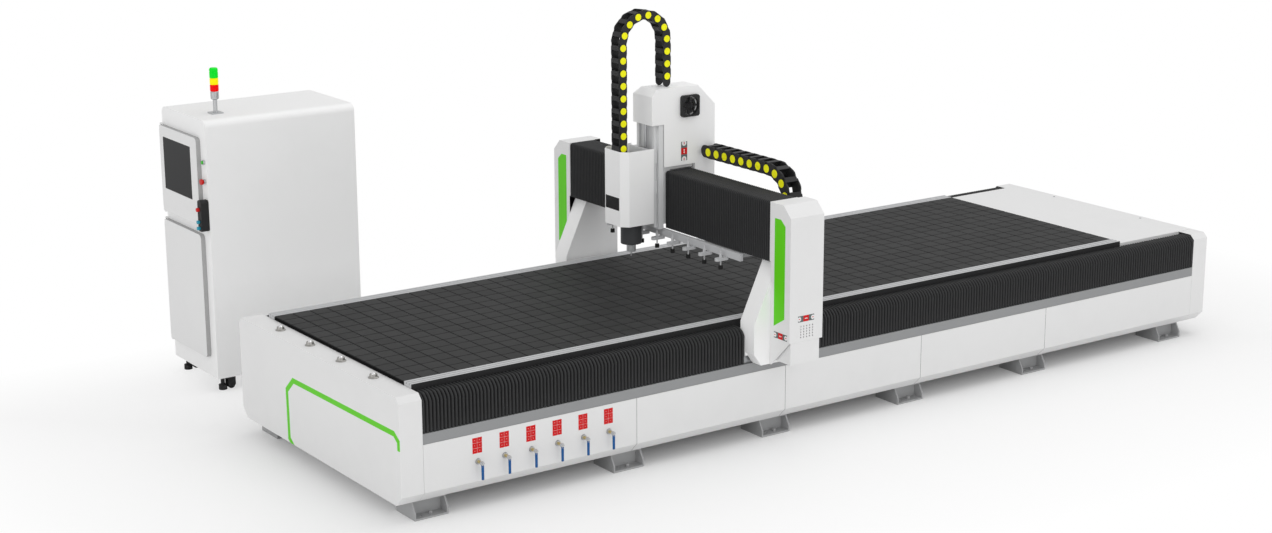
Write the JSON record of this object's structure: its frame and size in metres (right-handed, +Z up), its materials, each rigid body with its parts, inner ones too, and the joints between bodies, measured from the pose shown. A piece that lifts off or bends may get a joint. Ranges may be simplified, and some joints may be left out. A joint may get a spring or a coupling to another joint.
{
  "type": "flat bed cnc router",
  "caption": "Long flat-bed CNC router: vacuum table, travelling gantry with vertical spindle and press bar, and separate control cabinet.",
  "frame": {"origin": "middle of the whole footprint, bed and cabinet together, on the floor", "axes": "+X along the bed from the loading end to the outfeed end, +Y from the valve side towards the control cabinet, +Z up"},
  "size_m": [6.95, 4.05, 2.7297],
  "materials": {
    "aluminium": "anodised",
    "bellows_cloth": "coated fabric, matt",
    "black_plastic": "matt",
    "blue_grip": "dipped vinyl",
    "blue_plastic": "gloss",
    "brass": "machined",
    "cast_iron": "machined and painted",
    "chain_plastic": "moulded nylon",
    "dark_grey_paint": "satin",
    "green_plastic": "gloss",
    "grey_paint": "satin",
    "phenolic_board": "matt",
    "red_plastic": "gloss",
    "rubber": "matt",
    "screen_glass": "glossy screen",
    "steel": "machined",
    "white_paint": "satin powder coat"
  },
  "bodies": {
    "bed": {"bed_frame": "grey_paint", "bed_feet": "grey_paint", "left_end_cover": "white_paint", "right_end_cover": "white_paint", "deck_plate": "white_paint", "valve_panel": "white_paint", "side_panels": "white_paint", "edge_strips": "aluminium", "vacuum_table": "phenolic_board", "ball_transfer_units": "steel", "x_guideway": "steel", "left_x_bellows": "bellows_cloth", "right_x_bellows": "bellows_cloth", "ball_valves": "brass", "vacuum_manifold": "black_plastic", "cabinet_shell": "white_paint", "pendant_box": "black_plastic", "tower_light": "red_plastic", "drive_plate": "steel", "caster_frames": "dark_grey_paint"},
    "gantry": {"gantry_legs": "cast_iron", "gantry_beam": "white_paint", "x_carriages": "steel", "leg_covers": "white_paint", "y_guideway": "steel", "x_motors": "black_plastic", "near_y_bellows": "bellows_cloth", "far_y_bellows": "bellows_cloth", "y_cable_chain": "chain_plastic"},
    "x_pinion_pair": {"x_pinions": "steel"},
    "press": {"press_bar": "aluminium", "press_feet": "rubber"},
    "saddle": {"saddle_frame": "cast_iron", "column_cover": "white_paint", "fan_housing": "black_plastic", "saddle_motors": "black_plastic", "z_cable_chain": "chain_plastic"},
    "y_pinion_gear": {"y_pinion": "steel"},
    "fan": {"fan_rotor": "black_plastic"},
    "screw": {"z_screw": "steel"},
    "head": {"head_plate": "cast_iron", "head_cover": "white_paint", "spindle_housing": "dark_grey_paint"},
    "spindle": {"spindle_shaft": "steel"},
    "upper_door": {"screen_door": "white_paint", "display_screen": "screen_glass"},
    "bottom_door": {"lower_door": "white_paint"},
    "start": {"start_button": "green_plastic"},
    "stop": {"emergency_stop": "red_plastic"},
    "pendant_stop_button": {"pendant_stop": "red_plastic"},
    "pendant_upper": {"pendant_knob_upper": "blue_plastic"},
    "pendant_lower": {"pendant_knob_lower": "blue_plastic"},
    "front_wheels": {"front_caster_wheels": "rubber"},
    "rear_wheels": {"rear_caster_wheels": "rubber"},
    "lever_1": {"valve_lever_1": "blue_grip"},
    "lever_2": {"valve_lever_2": "blue_grip"},
    "lever_3": {"valve_lever_3": "blue_grip"},
    "lever_4": {"valve_lever_4": "blue_grip"},
    "lever_5": {"valve_lever_5": "blue_grip"},
    "lever_6": {"valve_lever_6": "blue_grip"}
  },
  "joints": [
    {"name": "x_slide", "type": "slide", "parent": "bed", "child": "gantry", "axis": [1, 0, 0], "range_m": [-2.1, 3.2], "deforming": ["left_x_bellows", "right_x_bellows"]},
    {"name": "y_slide", "type": "slide", "parent": "gantry", "child": "saddle", "axis": [0, 1, 0], "range_m": [-0.95, 0.75], "deforming": ["near_y_bellows", "far_y_bellows", "y_cable_chain"]},
    {"name": "z_slide", "type": "slide", "parent": "saddle", "child": "head", "axis": [0, 0, 1], "range_m": [-0.21, 0.12], "deforming": ["z_cable_chain"]},
    {"name": "press_drop", "type": "slide", "parent": "gantry", "child": "press", "axis": [0, 0, 1], "range_m": [-0.23, 0]},
    {"name": "x_pinion_spin", "type": "hinge", "parent": "gantry", "child": "x_pinion_pair", "pos_m": [-0.708, -0.655, 0.636], "axis": [0, 1, 0], "continuous": true},
    {"name": "y_pinion_spin", "type": "hinge", "parent": "saddle", "child": "y_pinion_gear", "pos_m": [-0.728, -0.57, 1.462], "axis": [1, 0, 0], "continuous": true},
    {"name": "z_screw_spin", "type": "hinge", "parent": "saddle", "child": "screw", "pos_m": [-0.89, -0.561, 1.6], "axis": [0, 0, 1], "continuous": true},
    {"name": "spindle_spin", "type": "hinge", "parent": "head", "child": "spindle", "pos_m": [-1.01, -0.561, 1.2], "axis": [0, 0, 1], "continuous": true},
    {"name": "fan_spin", "type": "hinge", "parent": "saddle", "child": "fan", "pos_m": [-0.624, -0.7073, 2.063], "axis": [0, 1, 0], "continuous": true},
    {"name": "valve_turn_1", "type": "hinge", "parent": "bed", "child": "lever_1", "pos_m": [-2.947, -1.78, 0.305], "axis": [0, 1, 0], "range_deg": [0, 90]},
    {"name": "valve_turn_2", "type": "hinge", "parent": "bed", "child": "lever_2", "pos_m": [-2.757, -1.78, 0.305], "axis": [0, 1, 0], "range_deg": [0, 90]},
    {"name": "valve_turn_3", "type": "hinge", "parent": "bed", "child": "lever_3", "pos_m": [-2.567, -1.78, 0.305], "axis": [0, 1, 0], "range_deg": [0, 90]},
    {"name": "valve_turn_4", "type": "hinge", "parent": "bed", "child": "lever_4", "pos_m": [-2.377, -1.78, 0.305], "axis": [0, 1, 0], "range_deg": [0, 90]},
    {"name": "valve_turn_5", "type": "hinge", "parent": "bed", "child": "lever_5", "pos_m": [-2.187, -1.78, 0.305], "axis": [0, 1, 0], "range_deg": [0, 90]},
    {"name": "valve_turn_6", "type": "hinge", "parent": "bed", "child": "lever_6", "pos_m": [-1.997, -1.78, 0.305], "axis": [0, 1, 0], "range_deg": [0, 90]},
    {"name": "screen_door_hinge", "type": "hinge", "parent": "bed", "child": "upper_door", "pos_m": [-3.27565, 2.00665, 1.5], "axis": [0, 0, -1], "range_deg": [0, 110]},
    {"name": "lower_door_hinge", "type": "hinge", "parent": "bed", "child": "bottom_door", "pos_m": [-3.27565, 2.00665, 0.68], "axis": [0, 0, -1], "range_deg": [0, 110]},
    {"name": "start_press", "type": "slide", "parent": "bed", "child": "start", "axis": [1, 0, 0], "range_m": [0, 0.003], "stiffness_N_per_m": 600},
    {"name": "stop_press", "type": "slide", "parent": "bed", "child": "stop", "axis": [1, 0, 0], "range_m": [0, 0.003], "stiffness_N_per_m": 800},
    {"name": "pendant_stop_press", "type": "slide", "parent": "bed", "child": "pendant_stop_button", "axis": [1, 0, 0], "range_m": [0, 0.003], "stiffness_N_per_m": 800},
    {"name": "pendant_upper_turn", "type": "hinge", "parent": "bed", "child": "pendant_upper", "pos_m": [-3.319, 1.328, 1.238], "axis": [1, 0, 0], "range_deg": [-45, 45]},
    {"name": "pendant_lower_turn", "type": "hinge", "parent": "bed", "child": "pendant_lower", "pos_m": [-3.319, 1.328, 1.194], "axis": [1, 0, 0], "range_deg": [-45, 45]},
    {"name": "front_wheel_roll", "type": "hinge", "parent": "bed", "child": "front_wheels", "pos_m": [-3.137, 1.658, 0.028], "axis": [0, 1, 0], "continuous": true},
    {"name": "rear_wheel_roll", "type": "hinge", "parent": "bed", "child": "rear_wheels", "pos_m": [-2.174, 1.658, 0.028], "axis": [0, 1, 0], "continuous": true}
  ],
  "couplings": [
    {"joint": "x_pinion_spin", "follows": "x_slide", "rad_per_m": 27.778},
    {"joint": "y_pinion_spin", "follows": "y_slide", "rad_per_m": -31.25},
    {"joint": "z_screw_spin", "follows": "z_slide", "rad_per_m": 628.32}
  ]
}
